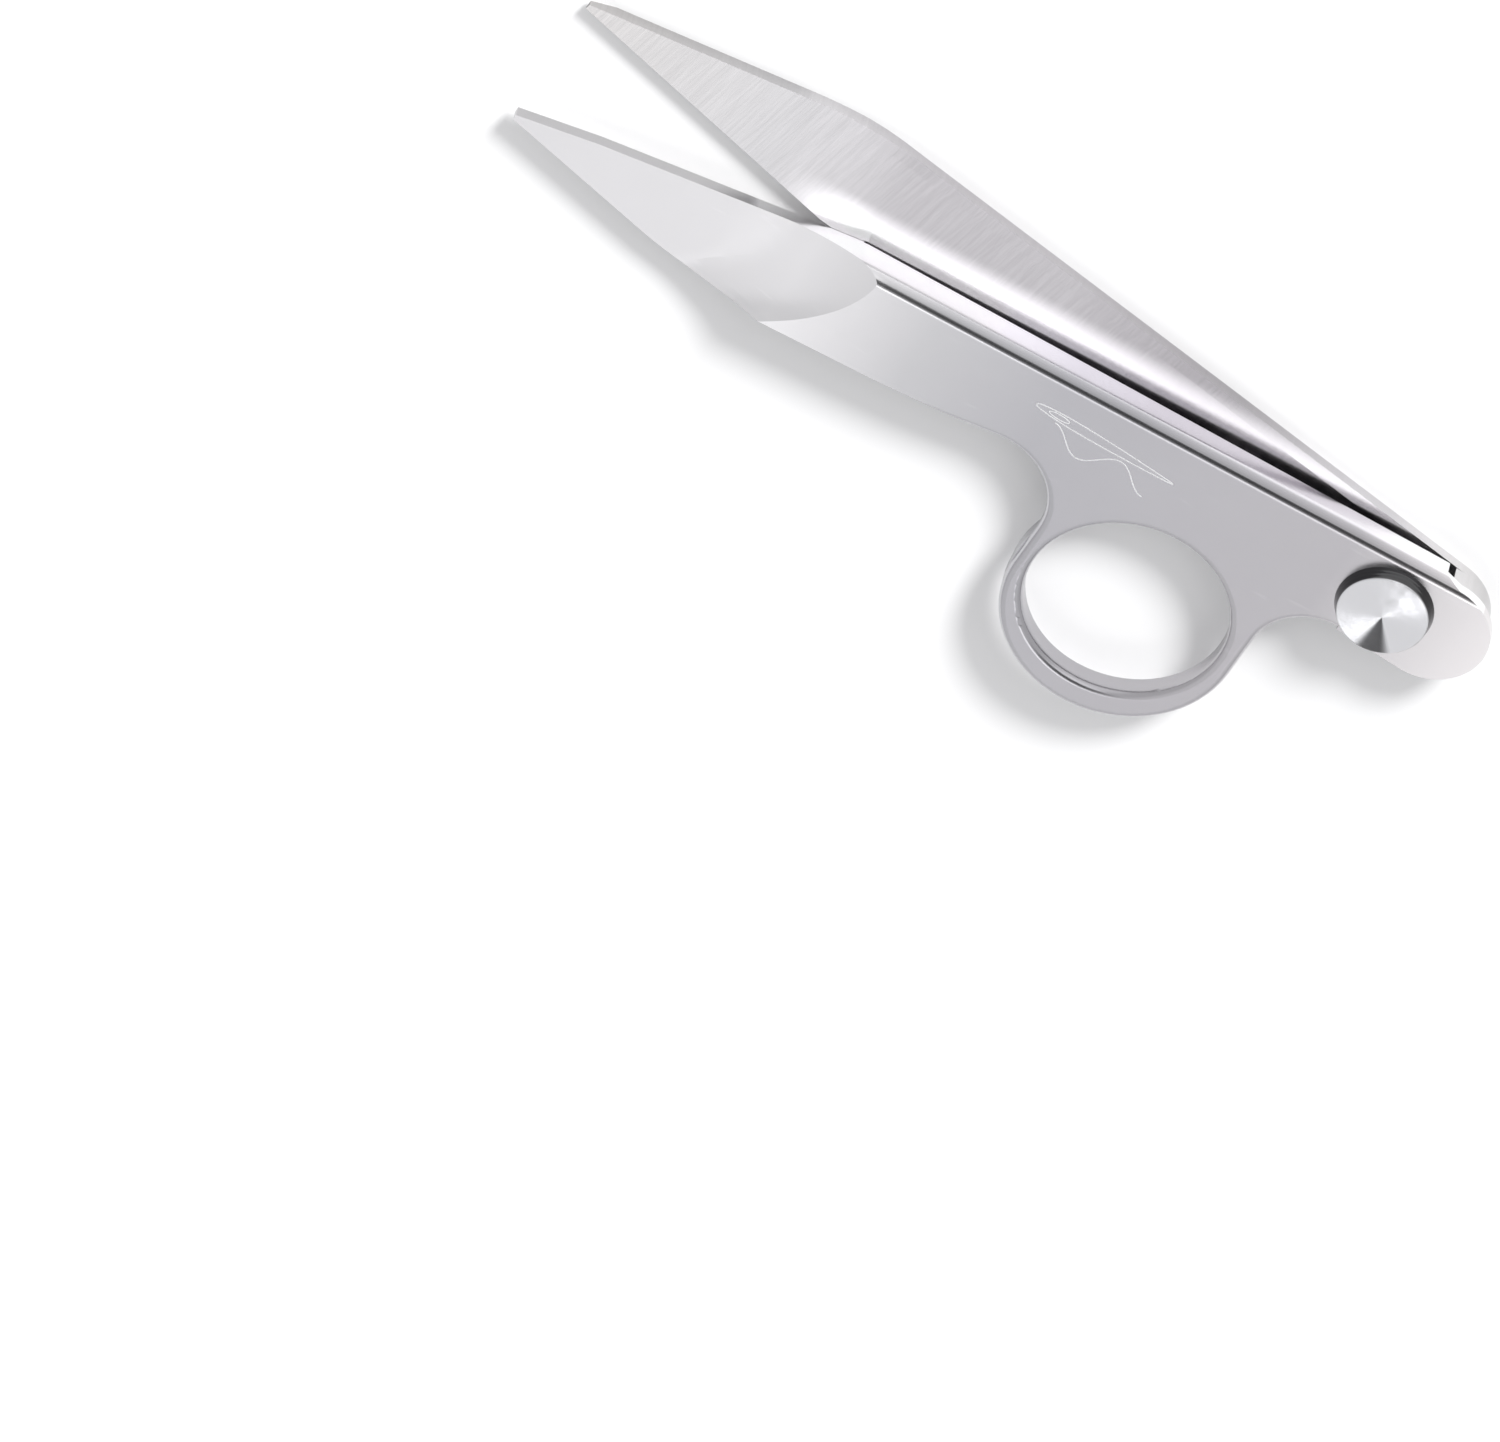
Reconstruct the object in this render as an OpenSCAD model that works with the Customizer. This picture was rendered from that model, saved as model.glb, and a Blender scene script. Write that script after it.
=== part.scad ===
// Thread snips: two folded sheet-steel halves on one rivet, held open by a coil spring.
// The tips point along -X, the finger ring lies to -Y, the ring half's face looks up (+Z).
// The origin is on the pivot axis, in the plane that the snips lie on.

/* [Sheet] */
// Thickness of the stamped steel sheet
sheet_t = 1.5; // [1.3:0.05:1.6]
// Height of the ring half's front face above the rest plane
stack_h = 6.0; // [5.8:0.1:6.5]
// Gap between the two blades' cutting faces
blade_gap = 0.05; // [0.03:0.01:0.1]
// Outside radius of the ring half's bend
ring_bend_r = 1.5; // [1.2:0.1:2]
// Outside radius of the thumb half's bend
thumb_bend_r = 1.0; // [0.6:0.1:1.2]

/* [Ring half] */
// Distance from the pivot to the outside of the ring half's flange
flange_y = 7.37; // [7.2:0.01:7.6]
// Where the flange starts, behind the blade
heel_x = -69; // [-72:0.5:-66]
// Tip of the ring half's blade
ring_tip = [-111.6, 1.2];
// Width of the blunt tip
tip_w = 0.7; // [0.4:0.1:1.2]
// Lowest line of the belly beside the neck
belly_y = -5.5; // [-6:0.1:-5]
// Radius of the finger hole
finger_r = 11.6; // [11:0.1:12]
// Centre of the finger hole
finger_c = [-23.6, -17.2];
// Outside radius of the finger ring
ring_r = 13.7; // [13.5:0.1:14.5]
// Centre of the finger ring's outside, set off so that the ring is thicker at the bottom
ring_c = [-23.4, -18.8];
// Depth of the finger ring's collar
collar_h = 2.8; // [2:0.1:3]
// Radius of the finger ring's front edges
ring_edge_r = 0.9; // [0.5:0.1:1]
// Centre of the rounded tail
tail_c = [6.0, 0.1];
// Radius of the rounded tail
tail_r = 6.55; // [6:0.05:6.8]

/* [Thumb half] */
// Angle that the snips stand open at rest
open_angle = 10.6; // [9:0.1:12]
// Distance from the pivot to the outside of the thumb half's spine
spine_y = 7.45; // [7.4:0.01:7.8]
// Height of the spine's rim above the rest plane
rim_h = 2.05; // [1.8:0.05:2.1]
// Tip of the thumb half's blade with the snips shut
thumb_tip = [-113.1, -2.75];
// Radius of the spine's sweep down to the tip
sweep_r = 55; // [45:1:65]
// Slope of the back of the blade at the tip
sweep_a = 17.5; // [15:0.5:20]
// Radius of the thumb half's tail
thumb_tail_r = 7.1; // [6.8:0.1:7.4]

/* [Pivot and spring] */
// Radius of the rivet's shank
shank_r = 2.5; // [2:0.1:3]
// Radial running clearance of the thumb half on the rivet
pivot_play = 0.05; // [0.02:0.01:0.1]
// Radius of the rivet head at the sheet
head_r = 5.6; // [5:0.1:5.8]
// Height of the rivet head's rim
head_h = 1.6; // [1.2:0.1:2]
// Outside radius of the spacer bush
bush_r = 3.6; // [3.3:0.1:3.7]
// Diameter of the spring wire
wire_d = 0.75; // [0.6:0.05:0.78]
// Mean radius of the spring's coils
coil_r = 4.25; // [4.1:0.05:4.4]
// Number of coils, always a whole number and a half
coils = 2.5; // [1.5:1:2.5]

/* [Hidden] */
$fn = 96;
eps = 0.01;

steel = "silver";
bright_steel = "gainsboro";
dark_steel = "dimgray";
brass = "goldenrod";

blade_back = sheet_t + blade_gap;         // back of the ring half's blade
blade_top = blade_back + sheet_t;         // front of the ring half's blade
plate_back = stack_h - sheet_t;           // back of the ring half's plate
flange_in = flange_y - sheet_t;           // inside of the ring half's flange
spine_in = spine_y - sheet_t;             // inside of the thumb half's spine

flange_end_x = 3.85;                      // end of the flange, and the closing stop
flange_z = [blade_back + 0.15, 2.9];      // flange rim at the heel and at the tail
step_len = 13;                            // length of the step down to the blade
step_n = 8;                               // facets round the step
step_y = 7;                               // line along which the step reaches farthest back
step_nose_r = 10.45;                      // nose radius of the step's outline
step_x = heel_x + 1.1;                    // its crest, where the plate ends
under_lean = 20;                          // slope of the step's underside
step_wall = 4.4;                          // the sheet in the step, measured along X

back_knees = [[-78.3, 6.4], [-101.9, 3.05]];  // corners along the back of the blade
belly_low = [-82, -6.1];                  // lowest point of the blade's belly
belly_r = 40;                             // radius of the belly under the blade
belly_a = 15.5;                           // slope of the belly towards the tip
hollow_y = -4.5;                          // edge where the belly turns in to the finger ring
fillet_tip_r = 8.7;                       // hollow between belly and finger ring
fillet_tail_r = 6.75;                     // hollow between finger ring and tail
neck_y = -5.75;                           // edge of the neck beside the pivot
belly_runout_a = 8.5;                     // turn of the rounding's run-out from the X axis

thumb_tail_c = [5.0, spine_y - thumb_tail_r];
sweep_x = -71.3;                          // where the spine starts to sweep down
spine_fade_x = -84;                       // where the folded spine runs out
edge_heel = [-76.5, -7.1];                // rear end of the thumb half's cutting edge
tall_rim_h = plate_back - 0.1;            // closing stop round the tail
tall_rim_a = [-50, 100.8];                // its first and last angle about the tail's centre
edge_land = 0.35;                         // flat left on the cutting edge
edge_bevel_a = 32;                        // slope of the bevel behind it

tab_x = [-26, -20];                       // spring tab, along X
tab_t = 1.35;                             // its thickness
tab_h = 3.9;                              // its top
tab_play = 0.07;                          // its gap to the flange when open

washer_t = 0.3;                           // friction washer
burr_r = 4.4;                             // sunk washer under the peened end
burr_t = 0.75;
peen_r = 3.1;                             // peened end of the rivet
peen_h = 0.45;
head_top_r = 5.2;
head_cone_h = 0.22;                       // turned cone on top of the head

spring_z = [1.95, 3.95];                  // wire centre at the thumb leg and the ring leg
leg_x = -24;                              // how far the legs reach
wire_sides = 10;
turn_steps = 28;

function arc_points(c, r, a0, a1, n) =
    [for (i = [0:n]) let (a = a0 + (a1 - a0) * i / n) c + r * [cos(a), sin(a)]];

// A quarter-round cutter: what is left outside a circle of radius r, corner up and out
module edge_cutter(r) {
    difference() {
        square(r + 1);
        circle(r);
    }
}

// Outline of the ring half, finger hole included
module ring_outline() {
    tip_in = ring_tip - [0, tip_w];
    fillet_a = [ring_c.x - ring_r - fillet_tip_r, hollow_y - fillet_tip_r];
    fillet_b = [ring_c.x + ring_r + fillet_tail_r, neck_y - fillet_tail_r];
    difference() {
        union() {
            polygon(concat(
                [tip_in],
                arc_points(belly_low + [0, belly_r], belly_r, 270 - belly_a, 270, 12),
                [[-62, belly_y], [fillet_a.x, hollow_y], fillet_a,
                 [ring_c.x - ring_r, fillet_a.y], [ring_c.x - ring_r, ring_c.y],
                 [ring_c.x + ring_r, ring_c.y], [ring_c.x + ring_r, fillet_b.y],
                 fillet_b, [fillet_b.x, neck_y],
                 [tail_c.x, tail_c.y - tail_r], [tail_c.x, tail_c.y + tail_r],
                 [flange_end_x, flange_y], [heel_x - 1.5, flange_y],
                 back_knees[0], back_knees[1], ring_tip]));
            translate(ring_c) circle(ring_r);
            translate(tail_c) circle(tail_r);
        }
        translate(fillet_a) circle(fillet_tip_r);
        translate(fillet_b) circle(fillet_tail_r);
        translate(finger_c) circle(finger_r);
    }
}

// Space above the blade: a hollow step, where leaning cylinders of growing slope meet
module step_cutter() {
    drop = stack_h - blade_top;
    sweep = (step_len * step_len + drop * drop) / (2 * drop);
    crest_a = asin(step_len / sweep);
    foot_x = step_x - step_len;
    intersection() {
        translate([-140, -60, blade_top]) cube([100, 120, 40]);
        intersection_for (i = [0:step_n - 1]) {
            a0 = crest_a * i / step_n;
            lean = a0 + crest_a / step_n / 2;
            r = step_nose_r / sin(lean);
            translate([foot_x + sweep * sin(a0), step_y, blade_top + sweep * (1 - cos(a0))])
                rotate([0, -lean, 0])
                    translate([0, 0, r])
                        rotate([0, 90, 0]) cylinder(h = 400, r = r, center = true, $fn = 200);
        }
    }
}

// Hollow behind the ring half's plate, inside its flange
module ring_hollow() {
    r = step_nose_r / sin(under_lean);
    difference() {
        translate([-90, -45, 0]) cube([90 + flange_end_x, 45 + flange_in, plate_back]);
        translate([step_x + step_wall, step_y, stack_h])
            rotate([0, -under_lean, 0])
                translate([0, 0, r])
                    rotate([0, 90, 0]) cylinder(h = 400, r = r, center = true, $fn = 200);
    }
    translate([flange_end_x - eps, -45, 0]) cube([30, 90, plate_back]);
}

// Rounded front edges of the finger ring and of the hollows that lead into it
module ring_edge_cutters() {
    r = ring_edge_r;
    z = stack_h - r;
    fillet_a = [ring_c.x - ring_r - fillet_tip_r, hollow_y - fillet_tip_r];
    fillet_b = [ring_c.x + ring_r + fillet_tail_r, neck_y - fillet_tail_r];
    translate([ring_c.x, ring_c.y, z]) rotate([0, 0, 180]) rotate_extrude(angle = 180)
        translate([ring_r - r, 0]) edge_cutter(r);
    translate([fillet_a.x, fillet_a.y, z]) rotate_extrude(angle = 90 + belly_runout_a)
        translate([fillet_tip_r + r, 0]) mirror([1, 0]) edge_cutter(r);
    translate([fillet_b.x, fillet_b.y, z]) rotate([0, 0, 90]) rotate_extrude(angle = 90)
        translate([fillet_tail_r + r, 0]) mirror([1, 0]) edge_cutter(r);
    // the rounding runs out along the belly
    translate([fillet_a.x, fillet_a.y, z]) rotate([0, 0, 90 + belly_runout_a])
        translate([fillet_tip_r + r, 0]) rotate([90, 0, 180]) linear_extrude(14) edge_cutter(r);
    translate([ring_c.x - ring_r + r, fillet_a.y, z]) rotate([90, 0, 0])
        linear_extrude(fillet_a.y - ring_c.y) mirror([1, 0]) edge_cutter(r);
    translate([ring_c.x + ring_r - r, fillet_b.y, z]) rotate([90, 0, 0])
        linear_extrude(fillet_b.y - ring_c.y) edge_cutter(r);
    translate([finger_c.x, finger_c.y, z]) rotate_extrude()
        translate([finger_r + r, 0]) mirror([1, 0]) edge_cutter(r);
}

module ring_half() {
    flange_lean = atan((flange_z[1] - flange_z[0]) / (flange_end_x - heel_x));
    color(steel) difference() {
        union() {
            difference() {
                translate([0, 0, blade_back]) linear_extrude(stack_h - blade_back) ring_outline();
                ring_hollow();
            }
            // deeper collar round the finger hole
            translate([0, 0, stack_h - collar_h]) linear_extrude(collar_h - sheet_t / 2)
                difference() {
                    union() {
                        translate(ring_c) circle(ring_r);
                        translate(finger_c) circle(ring_r);
                    }
                    translate(finger_c) circle(finger_r);
                }
        }
        step_cutter();
        ring_edge_cutters();
        // bend along the flange
        translate([heel_x - 4, flange_y - ring_bend_r, stack_h - ring_bend_r])
            rotate([90, 0, 90]) linear_extrude(14 - heel_x) edge_cutter(ring_bend_r);
        // the flange's rim rises towards the tail
        translate([heel_x - 2, flange_in - 1, flange_z[0]]) rotate([0, -flange_lean, 0])
            translate([0, 0, -3]) cube([90, 4, 3]);
        translate([0, 0, plate_back - 1]) cylinder(h = sheet_t + 2, r = shank_r);
    }
}

// Outline of the thumb half with the snips shut, its spine and tail set in by inset
module thumb_outline(inset) {
    polygon(concat(
        [edge_heel, [-62, -6.6], [-45, -5.9],
         [thumb_tail_c.x, thumb_tail_c.y - thumb_tail_r + inset],
         [thumb_tail_c.x, spine_y - inset], [sweep_x, spine_y - inset]],
        arc_points([sweep_x, spine_y - sweep_r], sweep_r - inset, 90, 90 + sweep_a, 14),
        [thumb_tip, thumb_tip - [0, tip_w]]));
    translate(thumb_tail_c) circle(thumb_tail_r - inset);
}

// Folded spine along the back of the thumb half, in plan
module spine_plan() {
    intersection() {
        difference() {
            thumb_outline(0);
            thumb_outline(sheet_t);
        }
        translate([spine_fade_x - 6, 0]) square([thumb_tail_c.x - spine_fade_x + 6, 20]);
    }
}

// Wall round the tail between two angles about the tail's centre, in plan
module tail_plan(a0, a1) {
    reach = 2 * thumb_tail_r;
    translate(thumb_tail_c) intersection() {
        difference() {
            circle(thumb_tail_r);
            circle(thumb_tail_r - sheet_t);
        }
        polygon(concat([[0, 0]], arc_points([0, 0], reach, a0, a1, 6)));
    }
}

module thumb_half() {
    r = thumb_bend_r;
    rim_lean = atan((rim_h - sheet_t) / (sweep_x - spine_fade_x));
    edge_tip = thumb_tip - [0, tip_w];
    edge_a = atan2(edge_tip.y - edge_heel.y, edge_tip.x - edge_heel.x);
    color(steel) difference() {
        union() {
            rotate([0, 0, -open_angle]) difference() {
                union() {
                    linear_extrude(sheet_t) thumb_outline(0);
                    // the spine's rim runs out into the blade
                    difference() {
                        linear_extrude(rim_h) spine_plan();
                        translate([spine_fade_x, 0, sheet_t]) rotate([0, -rim_lean, 0])
                            translate([-20, -20, 0]) cube([20 + sweep_x - spine_fade_x, 60, 10]);
                    }
                    linear_extrude(rim_h) tail_plan(-90, 91);
                    linear_extrude(tall_rim_h) tail_plan(tall_rim_a[0], tall_rim_a[1]);
                }
                // bend along the spine and round the tail
                translate([spine_fade_x, spine_y - r, r]) rotate([90, 0, 90])
                    linear_extrude(thumb_tail_c.x - spine_fade_x) mirror([0, 1]) edge_cutter(r);
                translate([thumb_tail_c.x, thumb_tail_c.y, r]) rotate([0, 0, -90])
                    rotate_extrude(angle = 180)
                        translate([thumb_tail_r - r, 0]) mirror([0, 1]) edge_cutter(r);
            }
            // tab: holds the spring's leg, and meets the flange when the snips are open
            translate([tab_x[0], flange_in - tab_play - tab_t, sheet_t / 2])
                cube([tab_x[1] - tab_x[0], tab_t, tab_h - sheet_t / 2]);
        }
        // slot that the tab was lanced from
        translate([tab_x[0], flange_in - tab_play - 2 * tab_t - 0.1, -1])
            cube([tab_x[1] - tab_x[0], tab_t + 0.1, sheet_t + 2]);
        // ground bevel behind the cutting edge
        rotate([0, 0, -open_angle]) translate([edge_heel.x, edge_heel.y, sheet_t - edge_land])
            rotate([edge_bevel_a, 0, edge_a]) translate([0, -4, -6]) cube([60, 12, 6]);
        translate([0, 0, -1]) cylinder(h = sheet_t + 2, r = shank_r + pivot_play);
        translate([0, 0, -1]) cylinder(h = 1 + burr_t + 0.03, r = burr_r + 0.03);
    }
}

// Rivet: turned head, shank, and an end peened into the sunk washer
module pivot_rivet() {
    color(bright_steel) rotate_extrude()
        polygon([[0, 0], [peen_r, 0], [shank_r, peen_h], [shank_r, stack_h],
                 [head_r, stack_h], [head_top_r, stack_h + head_h - 0.12],
                 [head_top_r - 0.14, stack_h + head_h],
                 [0, stack_h + head_h + head_cone_h]]);
}

module spacer_bush() {
    z = blade_back + washer_t;
    color(dark_steel) translate([0, 0, z]) difference() {
        cylinder(h = plate_back - z, r = bush_r);
        translate([0, 0, -1]) cylinder(h = plate_back - z + 2, r = shank_r);
    }
}

module friction_washer() {
    color(brass) translate([0, 0, blade_back]) difference() {
        cylinder(h = washer_t, r = bush_r);
        translate([0, 0, -1]) cylinder(h = washer_t + 2, r = shank_r);
    }
}

module burr_washer() {
    bore_r = shank_r + pivot_play;
    color(dark_steel) difference() {
        cylinder(h = burr_t, r = burr_r);
        translate([0, 0, -1]) cylinder(h = burr_t + 2, r = bore_r);
        translate([0, 0, -eps]) cylinder(h = peen_h + 0.07, r1 = peen_r + 0.07, r2 = bore_r - eps);
    }
}

// Centre line of the spring: thumb leg, coils, ring leg
function spring_path() =
    let (n = coils * turn_steps, rise = (spring_z[1] - spring_z[0]) / n)
    concat(
        [for (x = [leg_x : 6 : -6]) [x, coil_r - 0.25 + 0.25 * (x - leg_x) / -leg_x, spring_z[0]]],
        [for (i = [0:n]) let (a = 90 - 360 * i / turn_steps)
            [coil_r * cos(a), coil_r * sin(a), spring_z[0] + rise * i]],
        [for (x = [-6 : -6 : leg_x]) [x, -coil_r + 1.25 * x / leg_x, spring_z[1]]]);

module return_spring() {
    p = spring_path();
    n = len(p);
    ring = [for (k = [0:n - 1])
        let (q0 = p[max(k - 1, 0)], q1 = p[min(k + 1, n - 1)], t = (q1 - q0) / norm(q1 - q0),
             side = cross([0, 0, 1], t), u = side / norm(side), v = cross(t, u))
        [for (j = [0:wire_sides - 1]) let (a = 360 * j / wire_sides)
            p[k] + wire_d / 2 * (cos(a) * u + sin(a) * v)]];
    points = [for (k = [0:n - 1], j = [0:wire_sides - 1]) ring[k][j]];
    walls = [for (k = [0:n - 2], j = [0:wire_sides - 1])
        let (a = k * wire_sides + j, b = k * wire_sides + (j + 1) % wire_sides)
        [b, a, a + wire_sides, b + wire_sides]];
    ends = [[for (j = [0:wire_sides - 1]) j],
            [for (j = [wire_sides - 1 : -1 : 0]) (n - 1) * wire_sides + j]];
    color(dark_steel) polyhedron(points, concat(walls, ends), convexity = 6);
}

ring_half();
thumb_half();
pivot_rivet();
spacer_bush();
friction_washer();
burr_washer();
return_spring();
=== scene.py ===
import math
import bmesh
import bpy
import numpy as np
from mathutils import Matrix, Vector


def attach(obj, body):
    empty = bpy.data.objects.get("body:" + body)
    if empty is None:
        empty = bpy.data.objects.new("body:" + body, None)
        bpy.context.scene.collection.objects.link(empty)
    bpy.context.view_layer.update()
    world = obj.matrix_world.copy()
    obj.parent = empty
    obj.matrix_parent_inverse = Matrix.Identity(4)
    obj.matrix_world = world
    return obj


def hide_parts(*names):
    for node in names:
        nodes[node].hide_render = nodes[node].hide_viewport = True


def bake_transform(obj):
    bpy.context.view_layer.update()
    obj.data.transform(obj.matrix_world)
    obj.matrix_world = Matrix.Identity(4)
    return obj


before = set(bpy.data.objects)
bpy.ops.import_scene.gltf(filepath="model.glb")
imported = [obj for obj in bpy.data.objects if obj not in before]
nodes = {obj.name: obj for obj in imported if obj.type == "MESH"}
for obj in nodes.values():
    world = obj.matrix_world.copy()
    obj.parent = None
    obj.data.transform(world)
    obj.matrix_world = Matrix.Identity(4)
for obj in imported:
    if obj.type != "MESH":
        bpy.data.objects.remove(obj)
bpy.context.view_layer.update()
mm = 0.001

# camera
view = {
    "faceHeight": 0.006,      # front face of the ring half above the floor
    "turn": 16.9,             # degrees between the flange and the line across the view
    "roll": 14.65,
    "flatten": 0.785,         # sine of the camera's elevation
    "across": 0.16575,        # width of the view at the face
    "lens": 1200.0,
    "sensor": 36.0,
    "centreRight": -0.07008,  # middle of the view from the pivot
    "centreUp": -0.01254,
}


def makeCamera(v):
    # right, up and back are the camera's own axes, back pointing from the object to the lens
    t = math.radians(v["turn"])
    r = math.radians(v["roll"])
    along = Vector((math.cos(t), math.sin(t), 0))
    outward = Vector((-math.sin(t), math.cos(t), 0))
    low = math.sqrt(1 - v["flatten"] ** 2)
    away = v["flatten"] * outward - low * Vector((0, 0, 1))
    right = math.cos(r) * along + math.sin(r) * away
    up = math.cos(r) * away - math.sin(r) * along
    back = right.cross(up)
    target = Vector((0, 0, v["faceHeight"])) + v["centreRight"] * right + v["centreUp"] * up
    camData = bpy.data.cameras.new("camera")
    camData.lens = v["lens"]
    camData.sensor_width = v["sensor"]
    camData.sensor_fit = "HORIZONTAL"
    camData.clip_end = 20
    cam = bpy.data.objects.new("camera", camData)
    bpy.context.scene.collection.objects.link(cam)
    m = Matrix((right, up, back)).transposed().to_4x4()
    m.translation = target + v["across"] * v["lens"] / v["sensor"] * back
    cam.matrix_world = m
    bpy.context.scene.camera = cam


makeCamera(view)
print("camera placed")


# node helpers
def addNode(tree, kind, **settings):
    n = tree.nodes.new(kind)
    for key, value in settings.items():
        setattr(n, key, value)
    return n


def feed(tree, socket, value):
    # a number or tuple is set on the socket, anything else is linked into it
    if isinstance(value, (int, float, tuple)):
        socket.default_value = value
    else:
        tree.links.new(value, socket)


def calc(tree, operation, *values):
    n = addNode(tree, "ShaderNodeMath", operation=operation)
    for socket, value in zip(n.inputs, values):
        feed(tree, socket, value)
    return n.outputs[0]


def ramp(tree, value, lo, hi, outLo=0.0, outHi=1.0):
    # eased step: 3t^2 - 2t^3 between lo and hi, clamped
    n = addNode(tree, "ShaderNodeMapRange", interpolation_type="SMOOTHSTEP")
    for key, v in (("Value", value), ("From Min", lo), ("From Max", hi),
                   ("To Min", outLo), ("To Max", outHi)):
        feed(tree, n.inputs[key], v)
    return n.outputs[0]


def noise(tree, vector, scale, detail, rough):
    n = addNode(tree, "ShaderNodeTexNoise")
    feed(tree, n.inputs["Vector"], vector)
    n.inputs["Scale"].default_value = scale
    n.inputs["Detail"].default_value = detail
    n.inputs["Roughness"].default_value = rough
    return n.outputs["Fac"]


def stretched(tree, vector, turn, scales):
    # coordinates turned about Z by the angle in degrees, then stretched per axis
    n = addNode(tree, "ShaderNodeMapping", vector_type="TEXTURE")
    n.inputs["Rotation"].default_value = (0, 0, math.radians(turn))
    n.inputs["Scale"].default_value = tuple(1.0 / s for s in scales)
    feed(tree, n.inputs["Vector"], vector)
    return n.outputs[0]


# brushed steel, shared: fine lines, cloudy tone and a few scratches as three masks
brushSize = {
    "fine": (1.0, 5.0, 0.65),      # noise scale, detail and roughness
    "cloud": (90.0, 3.0, 0.55),
    "marks": (0.31, 2.0, 0.5),
    "scratch": (0.66, 0.74),       # level of the marks where a scratch starts, and is full
}


def makeBrushGroup(s):
    group = bpy.data.node_groups.new("brushedGrain", "ShaderNodeTree")
    group.interface.new_socket("Lines", in_out="INPUT", socket_type="NodeSocketVector")
    group.interface.new_socket("Place", in_out="INPUT", socket_type="NodeSocketVector")
    for name in ("Grain", "Cloud", "Scratch"):
        group.interface.new_socket(name, in_out="OUTPUT", socket_type="NodeSocketFloat")
    gin = group.nodes.new("NodeGroupInput")
    gout = group.nodes.new("NodeGroupOutput")
    marks = noise(group, gin.outputs["Lines"], *s["marks"])
    feed(group, gout.inputs["Grain"], noise(group, gin.outputs["Lines"], *s["fine"]))
    feed(group, gout.inputs["Cloud"], noise(group, gin.outputs["Place"], *s["cloud"]))
    feed(group, gout.inputs["Scratch"], ramp(group, marks, *s["scratch"]))
    return group


brushGroup = makeBrushGroup(brushSize)


def newMaterial(name):
    mat = bpy.data.materials.new(name)
    mat.use_nodes = True
    return mat, mat.node_tree, mat.node_tree.nodes["Principled BSDF"]


def toneRamp(tree, value, stops):
    n = addNode(tree, "ShaderNodeValToRGB")
    ramps = n.color_ramp
    while len(ramps.elements) < len(stops):
        ramps.elements.new(0.5)
    for e, (at, tone) in zip(ramps.elements, stops):
        e.position = at
        e.color = (*tone, 1)
    feed(tree, n.inputs["Fac"], value)
    return n.outputs["Color"]


# where a surface counts as a wall or as the outside of the fold, for every sheet
sheetMasks = {
    "wall": (0.45, 0.2),            # size of the normal's Z: face, wall
    "outer": (0.0055, 0.0058),      # Y of the flange's and the spine's outside
    "tilt": (0.12, 0.24),           # the normal's Y where the fold starts
    "upright": (0.85, 0.62),        # and where it ends
    "blend": 0.004,                 # length along X over which the walls change tone
    "bandStart": 0.012,             # length along X over which the painted highlight band comes in
}


def bandParts(tree, axes, b):
    # fold rises 0 to 1 across the blade, between low and high; the second result is a painted highlight
    # band, start * 4f(1 - f), highest half way across; the fold times start lowers the surface
    fold = ramp(tree, axes.outputs["Y"], b["low"], b["high"])
    start = ramp(tree, axes.outputs["X"], b["from"], b["from"] + sheetMasks["bandStart"])
    paintedBand = calc(tree, "MULTIPLY", calc(tree, "SUBTRACT", 1.0, fold), fold)
    paintedBand = calc(tree, "MULTIPLY", calc(tree, "MULTIPLY", paintedBand, start), 4 * b["lift"])
    return calc(tree, "MULTIPLY", fold, start), paintedBand


def wallShade(tree, axes, s):
    # 1 + wall * (wall tone - 1) + fold * (fold tone - 1): cut walls get painted shade, the flange's
    # outside is painted pale as a reflection, and the outside of the fold along +Y gets a painted dark
    # reflection
    m = sheetMasks
    facing = addNode(tree, "ShaderNodeSeparateXYZ")
    feed(tree, facing.inputs[0], addNode(tree, "ShaderNodeTexCoord").outputs["Normal"])
    wall = ramp(tree, calc(tree, "ABSOLUTE", facing.outputs["Z"]), *m["wall"])
    wallTone = ramp(tree, axes.outputs["X"], s["wallFrom"] - m["blend"], s["wallFrom"], *s["wallTones"])
    outer = ramp(tree, axes.outputs["Y"], *m["outer"])
    # painted reflection: the flange's outside wall is lightened
    wallTone = calc(tree, "MULTIPLY_ADD", outer, s["flangeSheen"], wallTone)
    # painted shade on the walls, darker than the faces
    paintedShading = calc(tree, "MULTIPLY", wall, calc(tree, "SUBTRACT", wallTone, 1.0))
    tilt = calc(tree, "MULTIPLY", ramp(tree, facing.outputs["Y"], *m["tilt"]),
                ramp(tree, facing.outputs["Y"], *m["upright"]))
    # painted dark reflection on the outside of the fold along +Y
    bend0, bend1, foldReflectionTone = s["bend"]
    foldReflection = calc(tree, "MULTIPLY", calc(tree, "MULTIPLY", tilt, outer),
                  ramp(tree, axes.outputs["X"], bend0, bend1))
    paintedShading = calc(tree, "MULTIPLY_ADD", foldReflection, foldReflectionTone - 1.0, paintedShading)
    return calc(tree, "ADD", paintedShading, 1.0)


def around(tree, value, size, middle):
    # middle + size * (value - 1/2)
    return calc(tree, "MULTIPLY_ADD", value, size, middle - size / 2)


def scaled(tree, color, factor):
    n = addNode(tree, "ShaderNodeVectorMath", operation="SCALE")
    feed(tree, n.inputs[0], color)
    feed(tree, n.inputs["Scale"], factor)
    return n.outputs[0]


def finishMetal(tree, shader, color, rough, height):
    # height is in metres
    bump = addNode(tree, "ShaderNodeBump")
    bump.inputs["Distance"].default_value = 1.0
    feed(tree, bump.inputs["Height"], height)
    feed(tree, shader.inputs["Base Color"], color)
    feed(tree, shader.inputs["Roughness"], rough)
    feed(tree, shader.inputs["Normal"], bump.outputs[0])
    shader.inputs["Metallic"].default_value = 1.0


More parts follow.
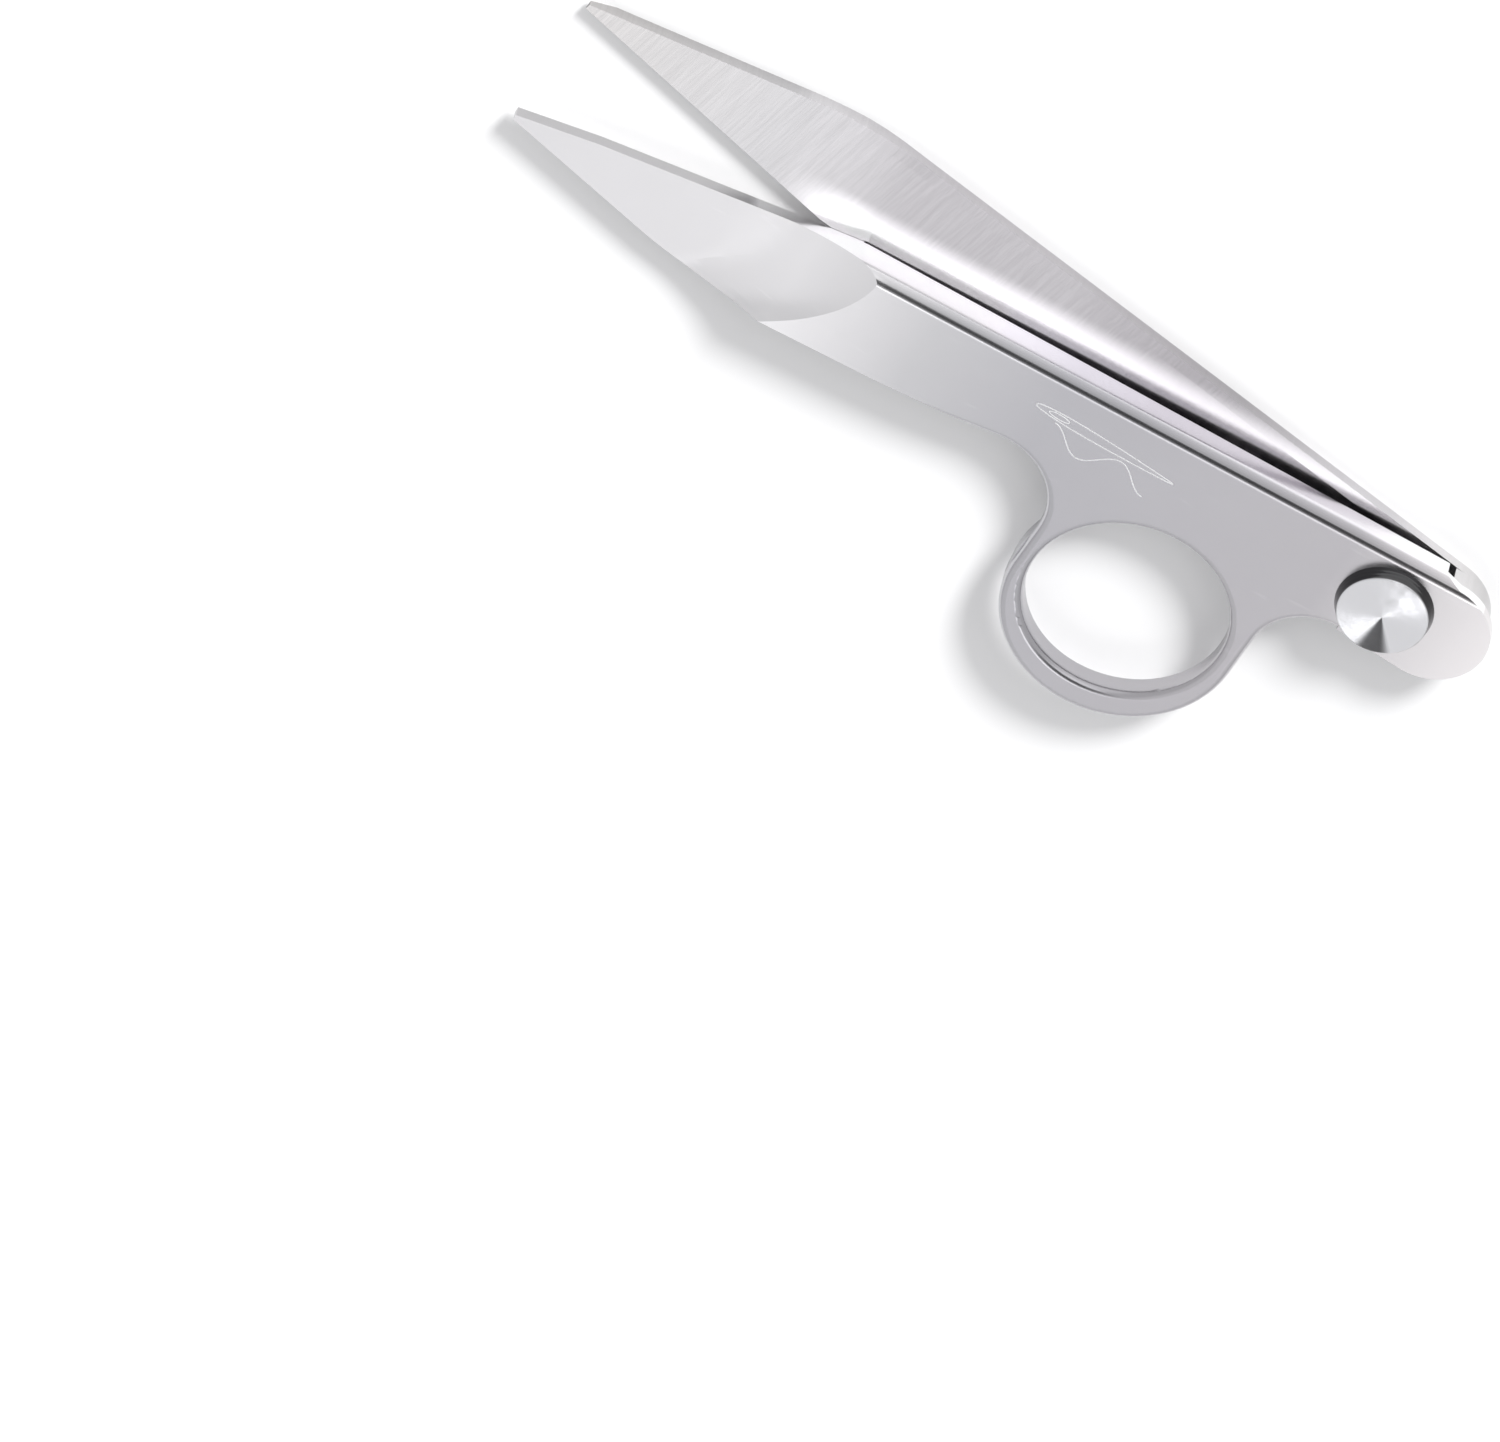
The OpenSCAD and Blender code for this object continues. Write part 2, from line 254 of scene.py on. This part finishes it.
def steelMaterial(name, s):
    # tone(x), which on the halves is painted light along X, times (1 + grain + cloud + scratches +
    # painted highlight band) times the walls' painted shading; roughness and bump follow the same grain
    mat, tree, shader = newMaterial(name)
    place = addNode(tree, "ShaderNodeTexCoord").outputs["Object"]
    axes = addNode(tree, "ShaderNodeSeparateXYZ")
    feed(tree, axes.inputs[0], place)
    group = addNode(tree, "ShaderNodeGroup", node_tree=brushGroup)
    feed(tree, group.inputs["Lines"], stretched(tree, place, s["turn"], s["lines"]))
    feed(tree, group.inputs["Place"], place)
    grain = group.outputs["Grain"]
    along = ramp(tree, axes.outputs["X"], *s["span"])
    along.node.interpolation_type = "LINEAR"
    vary = calc(tree, "ADD", around(tree, grain, s["grainTone"], 1.0),
                around(tree, group.outputs["Cloud"], s["cloudTone"], 0.0))
    vary = calc(tree, "MULTIPLY_ADD", group.outputs["Scratch"], s["scratchTone"], vary)
    height = calc(tree, "MULTIPLY", grain, s["grainHeight"])
    if "band" in s:
        lowered, paintedBand = bandParts(tree, axes, s["band"])
        height = calc(tree, "MULTIPLY_ADD", lowered, -s["band"]["depth"], height)
        # painted highlight band added to the colour
        vary = calc(tree, "ADD", vary, paintedBand)
    vary = calc(tree, "MULTIPLY", vary, wallShade(tree, axes, s))
    finishMetal(tree, shader, scaled(tree, toneRamp(tree, along, s["tones"]), vary),
                around(tree, grain, s["grainRough"], s["rough"]), height)
    return mat


satinLook = {
    "turn": 0, "lines": (700, 5200, 700), "span": (-0.112, 0.013),
    # tones along X are painted light: lighter at the tip, over the step and at the tail
    "tones": [(0.0, (0.84, 0.83, 0.84)), (0.21, (0.87, 0.86, 0.87)), (0.29, (0.97, 0.96, 0.97)),
              (0.34, (0.86, 0.85, 0.86)), (0.42, (0.66, 0.655, 0.67)),
              (0.55, (0.54, 0.535, 0.56)), (0.84, (0.56, 0.545, 0.565)), (1.0, (0.94, 0.91, 0.91))],
    # wall tones paint shade on the walls; the flange's value paints a pale reflection on its outside
    "wallFrom": -0.066, "wallTones": (0.62, 0.92), "flangeSheen": 0.70,
    "bend": (-0.070, -0.066, 0.62),      # X where it starts, X where it is full, tone of the painted dark reflection on the fold
    "grainTone": 0.05, "cloudTone": 0.05, "scratchTone": 0.03,
    "rough": 0.25, "grainRough": 0.06, "grainHeight": 1.2e-6,
}
bladeLook = {
    "turn": -10.6, "lines": (3000, 140, 140), "span": (-0.112, 0.013),
    # tones along X are painted light: lighter at the tip and the tail, darker across the middle
    "tones": [(0.0, (0.84, 0.82, 0.81)), (0.2, (0.80, 0.79, 0.80)), (0.34, (0.64, 0.62, 0.64)),
              (0.50, (0.62, 0.60, 0.62)), (0.64, (0.50, 0.48, 0.50)), (0.86, (0.48, 0.47, 0.48)),
              (0.93, (0.68, 0.67, 0.67)), (1.0, (0.74, 0.73, 0.73))],
    "wallFrom": -0.084, "wallTones": (0.66, 0.86), "flangeSheen": 0.0, "bend": (-0.082, -0.087, 0.22),
    "grainTone": 0.26, "cloudTone": 0.08, "scratchTone": 0.06,
    "rough": 0.24, "grainRough": 0.12, "grainHeight": 3.4e-6,
    # band: a painted highlight along the blade, over a shallow dip in the bump
    "band": {"low": 0.0046, "high": 0.0126, "from": -0.084, "depth": 0.00045, "lift": 0.60},
}
darkLook = {
    "turn": 0, "lines": (900, 900, 900), "span": (-0.03, 0.01),
    "tones": [(0.0, (0.42, 0.42, 0.44)), (1.0, (0.46, 0.46, 0.48))],
    "wallFrom": 0.0, "wallTones": (1.0, 1.0), "flangeSheen": 0.0, "bend": (0.0, 0.001, 1.0),
    "grainTone": 0.1, "cloudTone": 0.12, "scratchTone": 0.0,
    "rough": 0.3, "grainRough": 0.08, "grainHeight": 1e-6,
}
brassLook = dict(darkLook, tones=[(0.0, (0.78, 0.58, 0.28)), (1.0, (0.80, 0.61, 0.31))])
wireLook = dict(darkLook, tones=[(0.0, (0.60, 0.60, 0.62)), (1.0, (0.63, 0.63, 0.65))], rough=0.22)
satin = steelMaterial("satinSteel", satinLook)
blade = steelMaterial("groundSteel", bladeLook)
bushSteel = steelMaterial("bushSteel", darkLook)
washerBrass = steelMaterial("washerBrass", brassLook)
wireSteel = steelMaterial("wireSteel", wireLook)


# turned steel: rings about the pivot axis
rivetLook = {
    "tone": (0.86, 0.86, 0.88), "pitch": 0.00013, "depth": 0.0000045,
    "uneven": (700.0, 2.0, 0.5),         # noise that makes the rings uneven
    "rough": 0.16, "unevenRough": 0.1, "ringTone": 0.10,
    # rim: painted shade on the head's side, where it starts, where it is full, and its tone
    "rim": (0.00512, 0.00522), "rimShade": 0.10,
    # wedge: a painted dark reflection on the turned face, its direction, its reach and its tone
    "wedgeTo": (0.24, -0.97), "wedge": (0.89, 0.985), "wedgeTone": 0.14,
}


def turnedMaterial(name, s):
    # height = 2 * depth * sin(2 pi r / pitch) * uneven, r from the Z axis
    mat, tree, shader = newMaterial(name)
    place = addNode(tree, "ShaderNodeTexCoord").outputs["Object"]
    flat = addNode(tree, "ShaderNodeVectorMath", operation="MULTIPLY")
    feed(tree, flat.inputs[0], place)
    flat.inputs[1].default_value = (1, 1, 0)
    size = addNode(tree, "ShaderNodeVectorMath", operation="LENGTH")
    feed(tree, size.inputs[0], flat.outputs[0])
    r = size.outputs["Value"]
    uneven = noise(tree, place, *s["uneven"])
    wave = calc(tree, "SINE", calc(tree, "MULTIPLY", r, 2 * math.pi / s["pitch"]))
    wave = calc(tree, "MULTIPLY", wave, uneven)
    # one painted dark wedge of reflection across the turned face: cosine of the angle from its
    # direction
    outward = addNode(tree, "ShaderNodeVectorMath", operation="NORMALIZE")
    feed(tree, outward.inputs[0], flat.outputs[0])
    toward = addNode(tree, "ShaderNodeVectorMath", operation="DOT_PRODUCT")
    feed(tree, toward.inputs[0], outward.outputs[0])
    toward.inputs[1].default_value = (*s["wedgeTo"], 0)
    wedge = ramp(tree, toward.outputs["Value"], *s["wedge"], 1.0, s["wedgeTone"])
    shade = calc(tree, "MULTIPLY", around(tree, wave, s["ringTone"], 1.0), wedge)
    # painted shade: the head's side is darkened to stand in for the shadowed gap at its edge
    shade = calc(tree, "MULTIPLY", shade, ramp(tree, r, *s["rim"], 1.0, s["rimShade"]))
    finishMetal(tree, shader, scaled(tree, s["tone"], shade),
                around(tree, uneven, s["unevenRough"], s["rough"]),
                calc(tree, "MULTIPLY", wave, 2 * s["depth"]))
    return mat


turned = turnedMaterial("turnedSteel", rivetLook)
print("materials made")


# sheet halves: copies of the fixed meshes, merged, with fine rounded edges
sheetEdges = {
    "ring": 0.12 * mm, "thumb": 0.10 * mm, "segments": 2,
    "limit": 18.0,      # degrees from which an edge is sharp
    "coplanar": 0.3,    # degrees up to which facets are joined
    "weld": 1e-6, "weight": 50,
}


def roundedCopy(node, name, body, mat, width):
    e = sheetEdges
    limit = math.radians(e["limit"])
    mesh = nodes[node].data.copy()
    mesh.name = name
    obj = bpy.data.objects.new(name, mesh)
    bpy.context.scene.collection.objects.link(obj)
    bm = bmesh.new()
    bm.from_mesh(mesh)
    bmesh.ops.remove_doubles(bm, verts=bm.verts, dist=e["weld"])
    coplanar = math.radians(e["coplanar"])
    bmesh.ops.dissolve_limit(bm, angle_limit=coplanar, verts=bm.verts, edges=bm.edges)
    bm.to_mesh(mesh)
    bm.free()
    mesh.shade_smooth()
    mesh.set_sharp_from_angle(angle=limit)
    mesh.materials.clear()
    mesh.materials.append(mat)
    bevel = obj.modifiers.new("fineEdge", "BEVEL")
    bevel.width = width
    bevel.segments = e["segments"]
    bevel.limit_method = "ANGLE"
    bevel.angle_limit = limit
    bevel.miter_outer = "MITER_ARC"
    flat = obj.modifiers.new("flatFaces", "WEIGHTED_NORMAL")
    flat.mode = "FACE_AREA"
    flat.weight = e["weight"]
    flat.keep_sharp = True
    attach(obj, body)
    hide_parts(node)


roundedCopy("ring_half", "ringSheet", "ring_side", satin, sheetEdges["ring"])
roundedCopy("thumb_half", "thumbSheet", "thumb_side", blade, sheetEdges["thumb"])
print("halves rounded")


# smooth round tubes: the spring, and the thin lines etched on the ring half
def sweepTube(points, radii, sides, flat=1.0):
    # ring k: point + radius * (cos a * side + flat * sin a * upward), side level and square to the
    # line; gives vertices, quads and the end caps' triangles
    t = np.gradient(points, axis=0)
    t /= np.linalg.norm(t, axis=1, keepdims=True)
    side = np.cross(np.array([0.0, 0.0, 1.0]), t)
    side /= np.linalg.norm(side, axis=1, keepdims=True)
    upward = np.cross(t, side)
    a = np.arange(sides) * 2 * math.pi / sides
    count = len(points)
    r = np.broadcast_to(radii, (count,))[:, None, None]
    ring = points[:, None, :] + r * (np.cos(a)[None, :, None] * side[:, None, :]
                                     + flat * np.sin(a)[None, :, None] * upward[:, None, :])
    verts = np.concatenate([ring.reshape(-1, 3), points[:1], points[-1:]])
    k, j = np.meshgrid(np.arange(count - 1), np.arange(sides), indexing="ij")
    n = (j + 1) % sides
    quads = np.stack([k * sides + j, k * sides + n, (k + 1) * sides + n, (k + 1) * sides + j], -1)
    end, first = (count - 1) * sides, count * sides
    j, n = j[0], n[0]
    low = np.stack([n, j, np.full(sides, first)], -1)
    high = np.stack([end + j, end + n, np.full(sides, first + 1)], -1)
    return verts, quads.reshape(-1, 4), np.concatenate([low, high])


def meshObject(name, tubes, mat):
    # several tubes in one mesh: each one's indices move up by the count of vertices before it
    bases = np.cumsum([0] + [len(v) for v, _, _ in tubes])
    verts = np.concatenate([v for v, _, _ in tubes])
    quads = np.concatenate([q + base for (_, q, _), base in zip(tubes, bases)])
    tris = np.concatenate([t + base for (_, _, t), base in zip(tubes, bases)])
    mesh = bpy.data.meshes.new(name)
    mesh.from_pydata(verts.tolist(), [], quads.tolist() + tris.tolist())
    mesh.shade_smooth()
    mesh.materials.append(mat)
    obj = bpy.data.objects.new(name, mesh)
    bpy.context.scene.collection.objects.link(obj)
    return obj


springSize = {
    "coilR": 4.25, "wireR": 0.375, "coils": 2.5, "z": (1.95, 3.95),
    "legX": -24.0,            # how far the legs reach
    "legStart": -1.0,         # where they leave the coils
    "legIn": (0.25, 1.25),    # how much nearer the middle the thumb and ring legs' ends lie
    "legSteps": 24, "sides": 20, "perTurn": 72,
    "round": 7, "tipMin": 1e-4,    # steps of each rounded end, and the least 1 - q^2
}


def springLine(s):
    # thumb leg, then coils rising from its height to the ring leg's, then the ring leg
    r = s["coilR"]
    z0, z1 = s["z"]
    thumbIn, ringIn = s["legIn"]
    reach, steps = s["legX"], s["legSteps"]
    x = np.linspace(reach, s["legStart"], steps)
    legA = np.stack([x, r - thumbIn * x / reach, np.full(steps, z0)], -1)
    u = np.linspace(0, 1, int(s["coils"] * s["perTurn"]) + 1)
    a = math.pi / 2 - 2 * math.pi * s["coils"] * u
    coil = np.stack([r * np.cos(a), r * np.sin(a), z0 + (z1 - z0) * u], -1)
    x = x[::-1]
    legB = np.stack([x, ringIn * x / reach - r, np.full(steps, z1)], -1)
    line = np.concatenate([legA, coil, legB])
    # rounded wire ends: radius falls as sqrt(1 - q^2) over the last wire radius
    q = np.sin(np.linspace(0, math.pi / 2, s["round"]))[1:]
    fade = np.sqrt(np.maximum(1 - q ** 2, s["tipMin"]))
    w = s["wireR"]
    out = line[[0, -1]] - line[[1, -2]]
    out /= np.linalg.norm(out, axis=1, keepdims=True)
    head = line[0] + out[0] * (w * q[::-1, None] - w)
    tail = line[-1] + out[1] * (w * q[:, None] - w)
    # the line's own points stop where the rounded ends take over
    keep = np.ones(len(line), bool)
    keep[:steps] = legA[:, 0] > reach + w
    keep[-steps:] = legB[:, 0] > reach + w
    radii = np.concatenate([fade[::-1], np.ones(keep.sum()), fade]) * w
    return np.concatenate([head, line[keep], tail]) * mm, radii * mm


line, radii = springLine(springSize)
springTube = meshObject("springTube", [sweepTube(line, radii, springSize["sides"])], wireSteel)
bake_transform(springTube)
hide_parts("return_spring")
print("spring swept")

# plain needle and thread etched on the ring half
motifSize = {
    "centre": (-36.6, 0.4), "z": 6.0, "turn": -3.0, "width": 0.10, "flat": 0.2, "sides": 8,
    "needle": 18.0, "needleY": 1.3, "thick": 0.85,
    "taper": (0.66, 0.34),     # half width at the middle, and its change towards each end
    "eyeX": 0.66,              # end of the eye, as part of the half length
    "eye": (1.3, 0.32),        # half length and half width of the eye
    "thread": (13.0, 2.7),     # length and depth of the stitches
    "threadY": 0.35, "stitches": 1.5,
    "steps": (120, 60, 220),   # points along the needle, round the eye, along the thread
}


def motifLines(s):
    # needle: both sides of a slim spindle, with an eye; thread: a stitch and a half below it,
    # y = threadY - depth * sin^2(stitches * pi * v)
    half = s["needle"] / 2
    mid, change = s["taper"]
    needleSteps, eyeSteps, threadSteps = s["steps"]
    u = np.linspace(-1, 1, needleSteps)
    w = s["thick"] * np.sqrt(np.maximum(1 - u ** 2, 0)) * (mid - change * u)
    a = np.linspace(0, 2 * math.pi, eyeSteps)
    v = np.linspace(0, 1, threadSteps)
    eyeEnd = -half * s["eyeX"]
    eyeLong, eyeWide = s["eye"]
    length, depth = s["thread"]
    stitches = np.sin(s["stitches"] * math.pi * v) ** 2
    curves = [np.stack(c, -1) for c in (
        (u * half, s["needleY"] + w),
        (u * half, s["needleY"] - w),
        (eyeEnd + eyeLong * np.cos(a), s["needleY"] + eyeWide * np.sin(a)),
        (eyeEnd + length * v, s["threadY"] - depth * stitches))]
    t = math.radians(s["turn"])
    turn = np.array([[math.cos(t), math.sin(t)], [-math.sin(t), math.cos(t)]])
    return [np.column_stack([c @ turn + s["centre"], np.full(len(c), s["z"])]) * mm for c in curves]


def motifTubes(s):
    return [sweepTube(curve, s["width"] * mm, s["sides"], s["flat"]) for curve in motifLines(s)]


etchLook = dict(satinLook, tones=[(0.0, (0.97, 0.97, 0.98)), (1.0, (0.97, 0.97, 0.98))],
                rough=0.45, grainTone=0.12, scratchTone=0.0)
motif = meshObject("etchedMotif", motifTubes(motifSize), steelMaterial("etchedSteel", etchLook))
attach(motif, "ring_side")
print("motif laid")


def paint(obj, mat):
    for slot in obj.material_slots:
        slot.material = mat


paint(nodes["pivot_rivet"], turned)
paint(nodes["spacer_bush"], bushSteel)
paint(nodes["burr_washer"], bushSteel)
paint(nodes["friction_washer"], washerBrass)
print("rivet, bush and washers painted")

# floor, room light and lamps
studio = {
    "base": 0.62,
    "tint": (0.985, 0.985, 1.0),
    # direction, inner and outer angle in degrees, brightness: later ones cover earlier ones
    "cards": [
        ((0.0, 0.98, 0.20), 20, 45, 0.90),        # pale card low behind
        ((0.18, 0.593, 0.785), 14, 24, 1.20),     # pale card beside the camera
        ((0.05, -0.59, 0.785), 34, 60, 0.80),     # pale card that the flat faces show
        ((0.24, 0.19, 0.95), 15, 22, 0.06),       # dark card overhead
        ((0.28, -0.39, 0.88), 5, 10, 2.4),        # small bright card
    ],
    "sun": {"from": (0.12, 0.80, 0.42), "angle": 15.0, "strength": 3.4},
    "floor": {"tone": 0.92, "rough": 0.8, "gloss": 0.1, "half": 1.5},
}


def makeWorld(s):
    world = bpy.data.worlds.new("studio")
    bpy.context.scene.world = world
    world.use_nodes = True
    tree = world.node_tree
    back = tree.nodes["Background"]
    look = addNode(tree, "ShaderNodeTexCoord").outputs["Generated"]
    level = s["base"]
    for direction, inner, outer, bright in s["cards"]:
        d = Vector(direction).normalized()
        dot = addNode(tree, "ShaderNodeVectorMath", operation="DOT_PRODUCT")
        feed(tree, dot.inputs[0], look)
        dot.inputs[1].default_value = tuple(d)
        mask = ramp(tree, dot.outputs["Value"], math.cos(math.radians(outer)),
                    math.cos(math.radians(inner)))
        n = addNode(tree, "ShaderNodeMix")
        feed(tree, n.inputs[0], mask)
        feed(tree, n.inputs[2], level)
        feed(tree, n.inputs[3], bright)
        level = n.outputs[0]
    feed(tree, back.inputs["Strength"], level)
    back.inputs["Color"].default_value = (*s["tint"], 1)


makeWorld(studio)


def makeSun(s):
    data = bpy.data.lights.new("sun", "SUN")
    data.energy = s["strength"]
    data.angle = math.radians(s["angle"])
    lamp = bpy.data.objects.new("sun", data)
    bpy.context.scene.collection.objects.link(lamp)
    lamp.rotation_euler = Vector(s["from"]).to_track_quat("Z", "Y").to_euler()
    lamp.visible_glossy = False    # lights the floor only, so that metal shows the cards


makeSun(studio["sun"])


def makeFloor(s):
    mat, _, shader = newMaterial("floorWhite")
    shader.inputs["Base Color"].default_value = (s["tone"], s["tone"], s["tone"], 1)
    shader.inputs["Roughness"].default_value = s["rough"]
    shader.inputs["Specular IOR Level"].default_value = s["gloss"]
    mesh = bpy.data.meshes.new("floor")
    h = s["half"]
    mesh.from_pydata([(-h, -h, 0), (h, -h, 0), (h, h, 0), (-h, h, 0)], [], [(0, 1, 2, 3)])
    floor = bpy.data.objects.new("floor", mesh)
    bpy.context.scene.collection.objects.link(floor)
    mesh.materials.append(mat)
    return floor


makeFloor(studio["floor"])
bpy.context.scene.view_settings.view_transform = "Standard"
print("floor and lamps placed")
